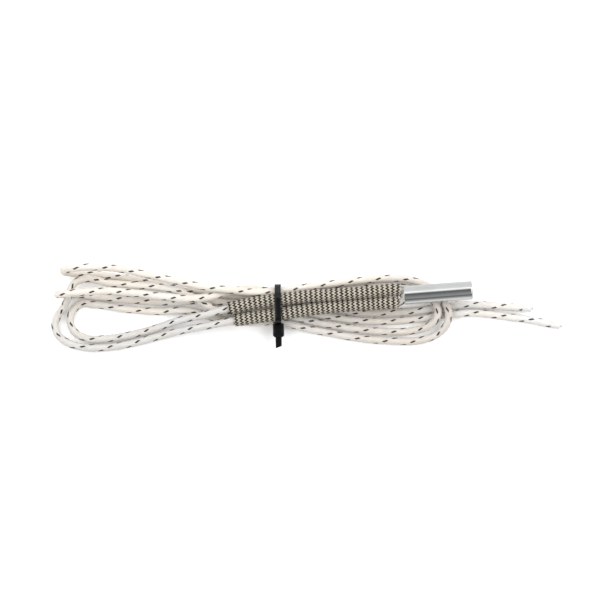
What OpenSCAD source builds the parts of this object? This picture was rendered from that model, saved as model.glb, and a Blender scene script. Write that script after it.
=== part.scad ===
// Cartridge heater: a swaged steel cartridge with two braided leads, folded into a hank and tied.
// The origin is the middle of the sheath's open mouth, +X runs along the sheath to its closed tip.

/* [Sheath] */
// outside diameter of the drawn sheath
sheath_d = 6; // [5.6:0.1:6.4]
// length of the sheath from its mouth to the closed tip
sheath_length = 22; // [20:0.5:40]
// wall of the sheath
sheath_wall = 0.4; // [0.3:0.05:0.45]
// rounding of the sheath's edge at the tip
tip_round = 0.4; // [0.2:0.05:0.45]
// thickness of the disc welded into the tip
end_disc_t = 1; // [0.8:0.1:1.6]
// rise of the weld's dome at its middle
weld_rise = 0.2; // [0.1:0.05:0.4]

/* [Heating core] */
// thickness of the magnesia layer packed round the coil
fill_t = 0.2; // [0.15:0.05:0.3]
// diameter of the resistance wire
coil_wire_d = 0.3; // [0.2:0.05:0.35]
// turns of the resistance coil
coil_turns = 13; // [6:1:16]
// thickness of the ceramic caps at both ends of the core
cap_t = 0.9; // [0.6:0.1:1]
// diameter of the terminal pins
pin_d = 0.8; // [0.6:0.05:0.85]

/* [Leads] */
// diameter of a braided lead
lead_d = 2.5; // [2.2:0.05:2.5]
// diameter of the conductor inside a lead
conductor_d = 0.9; // [0.7:0.05:1]
// depth of the cement seal in the mouth
seal_depth = 2; // [1.5:0.1:2.2]
// length of a splice ferrule
ferrule_length = 1.8; // [1.4:0.1:2]
// wall of a splice ferrule
ferrule_wall = 0.25; // [0.15:0.05:0.3]
// gap between the splice ferrules and the core's cap
splice_clear = 0.7; // [0.3:0.1:1.5]
// diameter of the inner wrap bared at a lead's free end
wrap_d = 2.1; // [1.6:0.1:2.2]
// length of the bared inner wrap
wrap_length = 2.8; // [1:0.2:4]
// length of the conductor that stands out of the wrap
strand_length = 0.8; // [0.4:0.1:2]

/* [Sleeves] */
// outside diameter over the ridges of a herringbone sleeve
sleeve_d = 4; // [3.8:0.05:4.05]
// gap between a lead and its sleeve
sleeve_gap = 0.3; // [0.25:0.05:0.35]
// depth of the grooves between the zigzag ridges
weave_depth = 0.14; // [0.05:0.01:0.18]
// zigzag ridges along one sleeve
weave_rows = 33; // [20:1:40]
// zigzag teeth round one sleeve
weave_teeth = 8; // [6:1:10]

/* [Cable tie] */
// width of the tie's strap
strap_w = 2; // [1.6:0.1:2.4]
// thickness of the tie's strap
strap_t = 0.9; // [0.7:0.05:1.1]
// width of the tie's head
head_w = 3.6; // [3.2:0.1:4.2]
// length of the tie's head along the tail
head_length = 3.9; // [3.4:0.1:4.6]
// height of the tie's head
head_h = 3; // [2.6:0.1:3.4]
// length of the cut tail past the head
tail_length = 3.9; // [1:0.1:8]

/* [Hidden] */
$fn = 64;
eps = 0.01;
// height of the heater's axis over the table
table_drop = 8;
// play between pieces that are pushed together
seat_gap = 0.02;
pin_play = 0.05;
coil_play = 0.07;
fill_play = 0.06;
bore_d = sheath_d - 2 * sheath_wall;
// the leads lie side by side in the mouth
lead_offset = lead_d / 2 + 0.05;
// from the bore inwards: the magnesia layer, the coil and the core that carries it
fill_r = bore_d / 2 - seat_gap - fill_t;
coil_r = fill_r - fill_play - coil_wire_d / 2;
core_d = 2 * (coil_r - coil_wire_d / 2 - coil_play);
// the pins, splices and conductors lie a third of the core's diameter off the axis
pin_offset = core_d / 3;
// from the mouth inwards: the seal, the splices, the core's cap and the core, which reaches up to the base cap
tail_room = 0.8;
tip_in = sheath_length - end_disc_t;
base_cap_x = tip_in - cap_t;
ferrule_x0 = seal_depth + 0.1;
ferrule_bore = max(conductor_d, pin_d) + pin_play;
splice_x = ferrule_x0 + ferrule_length / 2;
core_cap_x = ferrule_x0 + ferrule_length + splice_clear;
core_x0 = core_cap_x + cap_t + tail_room;
core_x1 = base_cap_x - tail_room;
core_length = core_x1 - core_x0;
weld_r = (bore_d * bore_d / 4 + weld_rise * weld_rise) / (2 * weld_rise);
sleeve_bore = lead_d + 2 * sleeve_gap;
tie_gap = 0.15;

// Routes of the leads, as x, y and height over the table. Each leaves the mouth inside its sleeve, is folded
// to the left, to the right round under the heater and to the left again, and ends to the right of the heater.
route_a = [
    [0, lead_offset, 8], [-0.8, 1.72, 8], [-2.8, 2.08, 8], [-8, 2.05, 7.95], [-16, 2, 7.85], [-24, 2.05, 7.7],
    [-32, 2.15, 7.4], [-41, 1.8, 7.2], [-49, 1.25, 6.9], [-56.5, 0.2, 6.5], [-64, -1.2, 5.6], [-73, -2.5, 3.6],
    [-82, -4.7, 1.6], [-91, -6.2, 1.3], [-98, -6.6, 1.25], [-103.5, -6, 1.25], [-107, -3.8, 1.25],
    [-108.3, -0.5, 1.25], [-107.5, 3, 1.25], [-104.5, 5.2, 1.25], [-100, 4.75, 1.25], [-91, 2.7, 1.25],
    [-80, 1, 1.25], [-70, 0.4, 1.25], [-62, -2.4, 1.25], [-56, -4.2, 1.4], [-49, -5, 2], [-41, -5.35, 2.4],
    [-33, -8, 1.6], [-25, -10.3, 1.3], [-15, -12.8, 1.25], [-5, -14.4, 1.3], [4, -14.9, 1.3], [9.5, -13.5, 1.8],
    [13, -10.5, 3.2], [14, -7, 4.1], [13.4, -4.1, 3.9], [11.5, -0.9, 2.7], [7.5, 2.7, 1.9], [1, 5.2, 2.2],
    [-6, 6, 2.9], [-14, 5.9, 3.5], [-24, 5.5, 4.2], [-33, 5, 4.7], [-41, 4.35, 5], [-50, 5, 5.6],
    [-57, 6.3, 7.1], [-64, 7.7, 7.1], [-74, 10.6, 6.6], [-83, 13.3, 6.6], [-91, 15.6, 7.7], [-98.5, 16.8, 9.9],
    [-104.2, 17, 10.7], [-107.6, 16.7, 9.3], [-109, 16.2, 6], [-107.7, 15.7, 2.8], [-104.6, 15.3, 1.5],
    [-99.5, 14.5, 1.27], [-93, 13.2, 1.25], [-86, 11.6, 1.25], [-79, 9.7, 1.25], [-72, 7.9, 1.25],
    [-64, 6.3, 1.25], [-57, 4.8, 1.4], [-49, 3, 1.9], [-41, 1.65, 2.4], [-33, 0.2, 1.6], [-25, -1.9, 1.3],
    [-15, -4.2, 1.25], [-5, -5.2, 1.25], [5, -5.2, 1.25], [13, -4.6, 1.25], [20, -4.5, 1.25], [30, -5.8, 1.25],
    [38, -7, 1.25]];
route_b = [
    [0, -lead_offset, 8], [-1.7, -2.1, 8], [-4, -2.1, 7.85], [-8, -2, 7.25], [-16, -1.97, 6.75],
    [-24, -1.97, 6.55], [-32, -2.35, 6.6], [-41, -2.95, 6.6], [-49, -3.45, 6.1], [-55, -3.85, 5.8],
    [-63, -4.8, 4.8], [-72, -5.8, 3], [-82, -7.5, 1.6], [-91, -9, 1.3], [-98, -9.4, 1.25], [-104.5, -8.8, 1.25],
    [-109.5, -7, 1.25], [-112.7, -4, 1.25], [-113.3, -0.5, 1.3], [-112, 2.2, 1.8], [-109.8, 5, 3],
    [-108.3, 7.5, 4.7], [-107.3, 10, 4.9], [-105.7, 12.3, 4.2], [-102.5, 13.2, 3.9], [-95, 11.3, 3.8],
    [-86, 9.8, 3.8], [-78, 8.6, 3.8], [-71, 6.3, 3.9], [-65, 2.6, 3.9], [-60, -0.5, 2.7], [-55, -1.5, 1.6],
    [-49, -2.4, 2], [-41, -2.65, 2.4], [-33, -5.2, 1.8], [-25, -7.5, 1.3], [-15, -9.9, 1.25], [-5, -11.4, 1.3],
    [2, -11.6, 1.4], [7, -10.6, 2.7], [10, -8.2, 3.9], [10.6, -5.2, 4.1], [9.2, -2.2, 3.3], [5, 0.6, 2],
    [-1, 2.9, 1.4], [-8, 3.9, 1.3], [-16, 4.2, 1.25], [-25, 4.6, 1.6], [-33, 4.6, 2.1], [-41, 4.35, 2.4],
    [-50, 6, 3], [-57, 5.4, 4.3], [-63, 4.4, 6.2], [-69, 4.3, 6.8], [-76, 5.3, 6.6], [-86, 7.3, 6.7],
    [-94, 8.6, 8.2], [-101, 9, 10.1], [-106.7, 9, 10.7], [-110.1, 8.9, 9.3], [-111.5, 8.9, 6],
    [-110.2, 8.8, 2.8], [-107.1, 8.6, 1.5], [-102, 7.9, 1.27], [-94, 6.3, 1.25], [-85, 4.8, 1.25],
    [-75, 3.6, 1.25], [-66, 3.4, 1.25], [-58, 2.2, 1.4], [-50, 0.5, 2.2], [-41, -0.35, 4.3], [-33, -2.5, 2.1],
    [-25, -4.7, 1.35], [-15, -7, 1.25], [-5, -8, 1.25], [5, -7.9, 1.25], [13, -7.3, 1.25], [22, -7.4, 1.25],
    [32, -9.3, 1.25], [40, -11, 1.25], [46.9, -13, 1.25]];
// points of a route that lie in its sleeve, first and last
sleeve_first = 1;
sleeve_last = 9;
// points of both routes where the tie holds them round the outside of the bundle, and their radius there
tie_x = route_a[7][0];
tie_head_height = 4.7;
// the tie leans by this angle about this line of the bundle
tie_lean = -3.4;
tie_lean_y = -3.3;
// where a route enters and leaves the strap at its point i, and its radius
function held_in_strap(route, i, r) = [
    for (next = [route[i - 1], route[i + 1]])
        [route[i] + (next - route[i]) * strap_w / 2 / abs(next[0] - route[i][0]), r]];
tie_hold = concat(
    held_in_strap(route_a, 7, sleeve_d / 2), held_in_strap(route_b, 7, sleeve_d / 2),
    held_in_strap(route_a, 44, lead_d / 2), held_in_strap(route_b, 49, lead_d / 2),
    held_in_strap(route_a, 27, lead_d / 2));

function unit(v) = v / norm(v);
function on_table(route) = [for (p = route) [p[0], p[1], p[2] - table_drop]];
// the way a path runs at each of its points, square to the mouth at its first
function ways(path, first) = [
    for (i = [0:len(path) - 1])
        i == 0 ? first : i == len(path) - 1 ? unit(path[i] - path[i - 1])
            : unit(unit(path[i] - path[i - 1]) + unit(path[i + 1] - path[i]))];
// a side direction that is carried along a path without twisting
function square_to(v, way) = unit(v - (v * way) * way);
function sides(way, start) = [
    for (i = 0, v = square_to(start, way[0]); i < len(way);
        i = i + 1, v = i < len(way) ? square_to(v, way[i]) : v) v];
// one ring of points round a path
function ring(p, way, side, r, n) = [
    for (k = [0:n - 1]) p + r * (cos(360 * k / n) * side + sin(360 * k / n) * cross(way, side))];
function skin(first, second, n) = [
    for (k = [0:n - 1]) each [
        [first + k, second + k, first + (k + 1) % n],
        [first + (k + 1) % n, second + k, second + (k + 1) % n]]];

// a round cord along a path
module cord(path, r, n) {
    way = ways(path, [-1, 0, 0]);
    side = sides(way, [0, 1, 0]);
    count = len(path);
    points = [for (i = [0:count - 1]) each ring(path[i], way[i], side[i], r, n)];
    faces = [
        [for (k = [0:n - 1]) k],
        for (i = [0:count - 2]) each skin(i * n, (i + 1) * n, n),
        [for (k = [n - 1:-1:0]) (count - 1) * n + k]];
    polyhedron(points, faces, convexity = 10);
}

// smooth line through part of a route, with the spacing of its points taken into account
function spacing(path, i) = norm(path[i + 1] - path[i]);
function slope(path, i) =
    i == 0 ? (path[1] - path[0]) / spacing(path, 0)
        : i == len(path) - 1 ? (path[i] - path[i - 1]) / spacing(path, i - 1)
        : ((path[i] - path[i - 1]) / spacing(path, i - 1) * spacing(path, i)
            + (path[i + 1] - path[i]) / spacing(path, i) * spacing(path, i - 1))
            / (spacing(path, i - 1) + spacing(path, i));
function along(path, i, u) =
    (2 * u * u * u - 3 * u * u + 1) * path[i] + (u * u * u - 2 * u * u + u) * spacing(path, i) * slope(path, i)
        + (3 * u * u - 2 * u * u * u) * path[i + 1] + (u * u * u - u * u) * spacing(path, i) * slope(path, i + 1);
function run_to(path, first, i) = i == first ? 0 : run_to(path, first, i - 1) + spacing(path, i - 1);
function leg_at(path, first, last, s, i) =
    i + 1 >= last || run_to(path, first, i + 1) >= s ? i : leg_at(path, first, last, s, i + 1);
function point_at(path, first, last, s) =
    let (i = leg_at(path, first, last, s, first))
        along(path, i, (s - run_to(path, first, i)) / spacing(path, i));

// a woven sleeve round part of a route: a tube whose outside is zigzag ridges with grooves between them
module herringbone_sleeve(route) {
    path = on_table(route);
    total = run_to(path, sleeve_first, sleeve_last);
    n = 2 * weave_teeth;
    rings = 2 * weave_rows;
    row = total / rings;
    line = [for (k = [0:rings]) point_at(path, sleeve_first, sleeve_last, k * row)];
    way = ways(line, [-1, 0, 0]);
    side = sides(way, [0, 1, 0]);
    outside = [
        for (k = [0:rings]) each [
            for (j = [0:n - 1])
                let (
                    r = sleeve_d / 2 - (k % 2 == 0 ? weave_depth : 0),
                    shift = k < 2 || k > rings - 2 ? 0 : (j % 2 == 0 ? row / 2 : -row / 2))
                    line[k] + shift * way[k]
                        + r * (cos(360 * j / n) * side[k] + sin(360 * j / n) * cross(way[k], side[k]))]];
    every = 6;
    steps = floor(rings / every);
    inside = [
        for (m = [0:steps])
            let (k = m == steps ? rings : m * every)
                each ring(line[k], way[k], side[k], sleeve_bore / 2, n)];
    base = (rings + 1) * n;
    rims = [
        for (j = [0:n - 1]) each [
            [j, (j + 1) % n, base + j],
            [(j + 1) % n, base + (j + 1) % n, base + j],
            [rings * n + (j + 1) % n, rings * n + j, base + steps * n + j],
            [base + steps * n + (j + 1) % n, rings * n + (j + 1) % n, base + steps * n + j]]];
    inner_faces = [
        for (m = [0:steps - 1]) each [
            for (f = skin(base + m * n, base + (m + 1) * n, n)) [f[0], f[2], f[1]]]];
    outer_faces = [for (k = [0:rings - 1]) each skin(k * n, (k + 1) * n, n)];
    polyhedron(concat(outside, inside), concat(outer_faces, inner_faces, rims), convexity = 10);
}

// lays a piece that was drawn along +Z at the end of a route, so that it carries on the route's last leg
module at_end_of(route, advance) {
    path = on_table(route);
    last = path[len(path) - 1];
    way = unit(last - path[len(path) - 2]);
    translate(last + advance * way)
        rotate([0, acos(way[2]), atan2(way[1], way[0])])
            children();
}

// a round bar along +X at a sideways offset
module bar(x0, x1, d, y) {
    translate([x0, y, 0]) rotate([0, 90, 0]) cylinder(h = x1 - x0, d = d);
}

module sheath() {
    color([0.74, 0.75, 0.76])
        rotate([0, 90, 0])
            rotate_extrude()
                polygon([
                    [bore_d / 2, 0], [sheath_d / 2, 0], [sheath_d / 2, sheath_length - tip_round],
                    for (a = [15:15:75])
                        [sheath_d / 2 - tip_round * (1 - cos(a)), sheath_length - tip_round * (1 - sin(a))],
                    [max(bore_d / 2 + eps, sheath_d / 2 - tip_round), sheath_length],
                    [bore_d / 2, sheath_length]]);
}

module end_disc() {
    color([0.7, 0.71, 0.72]) {
        intersection() {
            bar(tip_in, sheath_length + weld_rise, bore_d, 0);
            translate([sheath_length + weld_rise - weld_r, 0, 0]) sphere(r = weld_r);
        }
    }
}

module base_cap() {
    color([0.9, 0.88, 0.84]) bar(base_cap_x, tip_in, bore_d - 2 * seat_gap, 0);
}

module ceramic_core() {
    color([0.92, 0.9, 0.86])
        difference() {
            bar(core_x0, core_x1, core_d, 0);
            bar(core_x0 - 1, core_x1 + 1, pin_d + 2 * pin_play, pin_offset);
            bar(core_x0 - 1, core_x1 + 1, pin_d + 2 * pin_play, -pin_offset);
        }
}

// the coil starts on the short pin, winds along the core and ends on the long pin
module resistance_coil() {
    steps = 12;
    x0 = core_x0 + coil_wire_d;
    x1 = core_x1 - coil_wire_d;
    count = coil_turns * steps + steps / 2;
    on_pin = pin_offset + pin_d / 2 + coil_wire_d / 2 - 0.02;
    turn = [
        for (i = [0:count])
            let (a = 360 * i / steps)
                [x0 + (x1 - x0) * i / count, coil_r * cos(a), coil_r * sin(a)]];
    path = concat(
        [[core_x0 - 0.55, on_pin, -0.25], [core_x0 - 0.5, on_pin, 0], [core_x0 - 0.2, coil_r, 0]],
        turn,
        [[core_x1 + 0.2, -coil_r, 0], [core_x1 + 0.5, -on_pin, 0], [core_x1 + 0.55, -on_pin, 0.25]]);
    way = ways(path, [0, 0, 1]);
    side = sides(way, [1, 0, 0]);
    n = 6;
    total = len(path);
    points = [for (i = [0:total - 1]) each ring(path[i], way[i], side[i], coil_wire_d / 2, n)];
    faces = [
        [for (k = [0:n - 1]) k],
        for (i = [0:total - 2]) each skin(i * n, (i + 1) * n, n),
        [for (k = [n - 1:-1:0]) (total - 1) * n + k]];
    color([0.45, 0.42, 0.4]) polyhedron(points, faces, convexity = 10);
}

module magnesia_fill() {
    color([0.85, 0.84, 0.8])
        difference() {
            bar(core_cap_x + cap_t, base_cap_x, bore_d - 2 * seat_gap, 0);
            bar(core_cap_x, base_cap_x + 1, 2 * fill_r, 0);
        }
}

module terminal_pin_long() {
    color([0.68, 0.66, 0.6]) bar(splice_x, core_x1 + tail_room - 0.05, pin_d, -pin_offset);
}

module terminal_pin_short() {
    color([0.68, 0.66, 0.6]) bar(splice_x, core_x0 + core_length / 3, pin_d, pin_offset);
}

module core_cap() {
    color([0.9, 0.88, 0.84])
        difference() {
            bar(core_cap_x, core_cap_x + cap_t, bore_d - 2 * seat_gap, 0);
            bar(core_cap_x - 1, core_cap_x + cap_t + 1, pin_d + 2 * pin_play, pin_offset);
            bar(core_cap_x - 1, core_cap_x + cap_t + 1, pin_d + 2 * pin_play, -pin_offset);
        }
}

module ferrule(y) {
    color([0.8, 0.68, 0.42])
        difference() {
            bar(ferrule_x0, ferrule_x0 + ferrule_length, ferrule_bore + 2 * ferrule_wall, y);
            bar(ferrule_x0 - 1, ferrule_x0 + ferrule_length + 1, ferrule_bore, y);
        }
}

module splice_ferrule_a() {
    ferrule(pin_offset);
}

module splice_ferrule_b() {
    ferrule(-pin_offset);
}

module conductor_root_a() {
    color([0.76, 0.76, 0.74]) bar(0, splice_x, conductor_d, pin_offset);
}

module conductor_root_b() {
    color([0.76, 0.76, 0.74]) bar(0, splice_x, conductor_d, -pin_offset);
}

module cement_seal() {
    color([0.88, 0.84, 0.76])
        difference() {
            bar(0, seal_depth, bore_d - 2 * seat_gap, 0);
            bar(-1, seal_depth + 1, conductor_d + 2 * seat_gap, pin_offset);
            bar(-1, seal_depth + 1, conductor_d + 2 * seat_gap, -pin_offset);
        }
}

module lead_a() {
    color([0.93, 0.91, 0.88]) cord(on_table(route_a), lead_d / 2, 8);
}

module lead_b() {
    color([0.93, 0.91, 0.88]) cord(on_table(route_b), lead_d / 2, 8);
}

module sleeve_a() {
    color([0.36, 0.31, 0.25]) herringbone_sleeve(route_a);
}

module sleeve_b() {
    color([0.36, 0.31, 0.25]) herringbone_sleeve(route_b);
}

module lead_wrap_a() {
    color([0.8, 0.79, 0.78]) at_end_of(route_a, 0) cylinder(h = wrap_length, d = wrap_d, $fn = 32);
}

module lead_wrap_b() {
    color([0.8, 0.79, 0.78]) at_end_of(route_b, 0) cylinder(h = wrap_length, d = wrap_d, $fn = 32);
}

module strand_end_a() {
    color([0.7, 0.7, 0.69]) at_end_of(route_a, wrap_length) cylinder(h = strand_length, d = conductor_d, $fn = 24);
}

module strand_end_b() {
    color([0.7, 0.7, 0.69]) at_end_of(route_b, wrap_length) cylinder(h = strand_length, d = conductor_d, $fn = 24);
}

// outline of the bundle at the tie, grown by a distance
module bundle(grow) {
    hull()
        for (held = tie_hold)
            translate([held[0][1], held[0][2] - table_drop]) circle(r = held[1] + grow, $fn = 32);
}

// the strap goes round the bundle, and its tail comes out through the head on the bundle's near side
module cable_tie() {
    head_y = -6.2;
    head_z = tie_head_height - table_drop;
    slot_gap = 0.12;
    color([0.05, 0.05, 0.055])
        translate([tie_x, tie_lean_y, 0]) rotate([0, 0, tie_lean]) translate([0, -tie_lean_y, 0]) {
            rotate([90, 0, 90])
                linear_extrude(height = strap_w, center = true)
                    difference() {
                        bundle(tie_gap + strap_t);
                        bundle(tie_gap);
                    }
            difference() {
                translate([-head_w / 2, head_y - head_length, head_z - head_h / 2])
                    cube([head_w, head_length, head_h]);
                for (side = [-1, 1])
                    translate([side * head_w / 2, head_y - head_length, head_z - head_h])
                        rotate([0, 0, 45]) cube([0.9, 0.9, 4 * head_h], center = true);
                for (side = [-1, 1])
                    translate([0, head_y - head_length, head_z + side * head_h / 2])
                        rotate([45, 0, 0]) cube([2 * head_w, 0.7, 0.7], center = true);
                translate([-strap_w / 2 - slot_gap, head_y - head_length - 1, head_z - strap_t / 2 - slot_gap])
                    cube([strap_w + 2 * slot_gap, 2.4, strap_t + 2 * slot_gap]);
                rotate([90, 0, 90])
                    linear_extrude(height = 2 * head_w, center = true) bundle(tie_gap);
            }
            difference() {
                translate([-strap_w / 2, head_y - head_length - tail_length, head_z - strap_t / 2])
                    cube([strap_w, head_length + tail_length - 1.5, strap_t]);
                translate([-strap_w / 2, head_y - head_length - tail_length, head_z - strap_t])
                    rotate([0, 0, 20]) translate([-strap_w, -tail_length, 0])
                        cube([3 * strap_w, tail_length, 2 * strap_t]);
            }
        }
}

sheath();
end_disc();
base_cap();
ceramic_core();
resistance_coil();
magnesia_fill();
terminal_pin_long();
terminal_pin_short();
core_cap();
splice_ferrule_a();
splice_ferrule_b();
conductor_root_a();
conductor_root_b();
cement_seal();
lead_a();
lead_b();
sleeve_a();
sleeve_b();
lead_wrap_a();
lead_wrap_b();
strand_end_a();
strand_end_b();
cable_tie();
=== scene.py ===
"""Looks of the cartridge heater: steel cartridge, two braided leads in a tied hank and two woven sleeves."""

import math

import bmesh
import bpy
import numpy as np
from mathutils import Matrix, Vector


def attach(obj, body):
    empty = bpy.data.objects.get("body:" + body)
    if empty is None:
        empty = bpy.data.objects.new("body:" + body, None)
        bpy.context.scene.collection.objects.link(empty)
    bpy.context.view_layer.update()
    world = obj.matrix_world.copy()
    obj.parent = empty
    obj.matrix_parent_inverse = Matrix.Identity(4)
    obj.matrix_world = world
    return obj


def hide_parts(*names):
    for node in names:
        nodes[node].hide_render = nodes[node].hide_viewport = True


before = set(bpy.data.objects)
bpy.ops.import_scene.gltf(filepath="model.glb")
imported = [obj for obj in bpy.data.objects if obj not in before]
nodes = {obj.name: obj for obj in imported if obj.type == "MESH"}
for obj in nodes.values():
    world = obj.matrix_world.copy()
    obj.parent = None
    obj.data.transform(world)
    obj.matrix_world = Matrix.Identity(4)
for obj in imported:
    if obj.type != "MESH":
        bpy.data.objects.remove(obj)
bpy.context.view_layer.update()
scene = bpy.context.scene

MM = 0.001
TABLE_DROP = 8.0  # the heater's axis lies this far over the table, in mm
FLOOR_Z = -TABLE_DROP * MM
SHEATH_D, SHEATH_L, SHEATH_WALL, TIP_ROUND = 6.0, 22.0, 0.4, 0.4
DISC_T, WELD_RISE = 1.0, 0.2
LEAD_D = 2.5
SLEEVE_D = 4.0
SLEEVE_BORE = 3.1
SLEEVE_FIRST, SLEEVE_LAST = 1, 9
STRAP_W, STRAP_T, TIE_GAP = 2.0, 0.9, 0.15
HEAD_W, HEAD_L, HEAD_H, TAIL_L = 3.6, 3.9, 3.0, 3.9
HEAD_Y, HEAD_Z = -6.2, 4.7
TIE_X, TIE_LEAN, TIE_LEAN_Y = -41.0, -3.4, -3.3
WRAP_D, WRAP_L, STRAND_L, CONDUCTOR_D = 2.1, 2.8, 0.8, 0.9
FRAME_WIDE = 0.1935  # what the camera sees across the table, in metres

# The leads' routes: x, y and height over the table, in mm.
ROUTE_A = [
    (0, 1.3, 8), (-0.8, 1.72, 8), (-2.8, 2.08, 8), (-8, 2.05, 7.95), (-16, 2, 7.85), (-24, 2.05, 7.7),
    (-32, 2.15, 7.4), (-41, 1.8, 7.2), (-49, 1.25, 6.9), (-56.5, 0.2, 6.5), (-64, -1.2, 5.6),
    (-73, -2.5, 3.6), (-82, -4.7, 1.6), (-91, -6.2, 1.3), (-98, -6.6, 1.25), (-103.5, -6, 1.25),
    (-107, -3.8, 1.25), (-108.3, -0.5, 1.25), (-107.5, 3, 1.25), (-104.5, 5.2, 1.25), (-100, 4.75, 1.25),
    (-91, 2.7, 1.25), (-80, 1, 1.25), (-70, 0.4, 1.25), (-62, -2.4, 1.25), (-56, -4.2, 1.4), (-49, -5, 2),
    (-41, -5.35, 2.4), (-33, -8, 1.6), (-25, -10.3, 1.3), (-15, -12.8, 1.25), (-5, -14.4, 1.3),
    (4, -14.9, 1.3), (9.5, -13.5, 1.8), (13, -10.5, 3.2), (14, -7, 4.1), (13.4, -4.1, 3.9),
    (11.5, -0.9, 2.7), (7.5, 2.7, 1.9), (1, 5.2, 2.2), (-6, 6, 2.9), (-14, 5.9, 3.5), (-24, 5.5, 4.2),
    (-33, 5, 4.7), (-41, 4.35, 5), (-50, 5, 5.6), (-57, 6.3, 7.1), (-64, 7.7, 7.1), (-74, 10.6, 6.6),
    (-83, 13.3, 6.6), (-91, 15.6, 7.7), (-98.5, 16.8, 9.9), (-104.2, 17, 10.7), (-107.6, 16.7, 9.3),
    (-109, 16.2, 6), (-107.7, 15.7, 2.8), (-104.6, 15.3, 1.5), (-99.5, 14.5, 1.27), (-93, 13.2, 1.25),
    (-86, 11.6, 1.25), (-79, 9.7, 1.25), (-72, 7.9, 1.25), (-64, 6.3, 1.25), (-57, 4.8, 1.4), (-49, 3, 1.9),
    (-41, 1.65, 2.4), (-33, 0.2, 1.6), (-25, -1.9, 1.3), (-15, -4.2, 1.25), (-5, -5.2, 1.25),
    (5, -5.2, 1.25), (13, -4.6, 1.25), (20, -4.5, 1.25), (30, -5.8, 1.25), (38, -7, 1.25)]
ROUTE_B = [
    (0, -1.3, 8), (-1.7, -2.1, 8), (-4, -2.1, 7.85), (-8, -2, 7.25), (-16, -1.97, 6.75), (-24, -1.97, 6.55),
    (-32, -2.35, 6.6), (-41, -2.95, 6.6), (-49, -3.45, 6.1), (-55, -3.85, 5.8), (-63, -4.8, 4.8),
    (-72, -5.8, 3), (-82, -7.5, 1.6), (-91, -9, 1.3), (-98, -9.4, 1.25), (-104.5, -8.8, 1.25),
    (-109.5, -7, 1.25), (-112.7, -4, 1.25), (-113.3, -0.5, 1.3), (-112, 2.2, 1.8), (-109.8, 5, 3),
    (-108.3, 7.5, 4.7), (-107.3, 10, 4.9), (-105.7, 12.3, 4.2), (-102.5, 13.2, 3.9), (-95, 11.3, 3.8),
    (-86, 9.8, 3.8), (-78, 8.6, 3.8), (-71, 6.3, 3.9), (-65, 2.6, 3.9), (-60, -0.5, 2.7), (-55, -1.5, 1.6),
    (-49, -2.4, 2), (-41, -2.65, 2.4), (-33, -5.2, 1.8), (-25, -7.5, 1.3), (-15, -9.9, 1.25),
    (-5, -11.4, 1.3), (2, -11.6, 1.4), (7, -10.6, 2.7), (10, -8.2, 3.9), (10.6, -5.2, 4.1),
    (9.2, -2.2, 3.3), (5, 0.6, 2), (-1, 2.9, 1.4), (-8, 3.9, 1.3), (-16, 4.2, 1.25), (-25, 4.6, 1.6),
    (-33, 4.6, 2.1), (-41, 4.35, 2.4), (-50, 6, 3), (-57, 5.4, 4.3), (-63, 4.4, 6.2), (-69, 4.3, 6.8),
    (-76, 5.3, 6.6), (-86, 7.3, 6.7), (-94, 8.6, 8.2), (-101, 9, 10.1), (-106.7, 9, 10.7),
    (-110.1, 8.9, 9.3), (-111.5, 8.9, 6), (-110.2, 8.8, 2.8), (-107.1, 8.6, 1.5), (-102, 7.9, 1.27),
    (-94, 6.3, 1.25), (-85, 4.8, 1.25), (-75, 3.6, 1.25), (-66, 3.4, 1.25), (-58, 2.2, 1.4),
    (-50, 0.5, 2.2), (-41, -0.35, 4.3), (-33, -2.5, 2.1), (-25, -4.7, 1.35), (-15, -7, 1.25),
    (-5, -8, 1.25), (5, -7.9, 1.25), (13, -7.3, 1.25), (22, -7.4, 1.25), (32, -9.3, 1.25), (40, -11, 1.25),
    (46.9, -13, 1.25)]


# Camera

def make_camera():
    data = bpy.data.cameras.new("camera")
    data.lens = 300
    data.sensor_width = 36
    cam = bpy.data.objects.new("camera", data)
    scene.collection.objects.link(cam)
    cam.location = (-0.0336, 0.0011, FRAME_WIDE * data.lens / data.sensor_width)
    cam.rotation_euler = (0, 0, math.radians(-4.4))
    data.clip_start = 0.05
    data.clip_end = 20
    scene.camera = cam


make_camera()


# Lines through the routes

def unit(v):
    return v / np.linalg.norm(v, axis=-1, keepdims=True)


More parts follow.
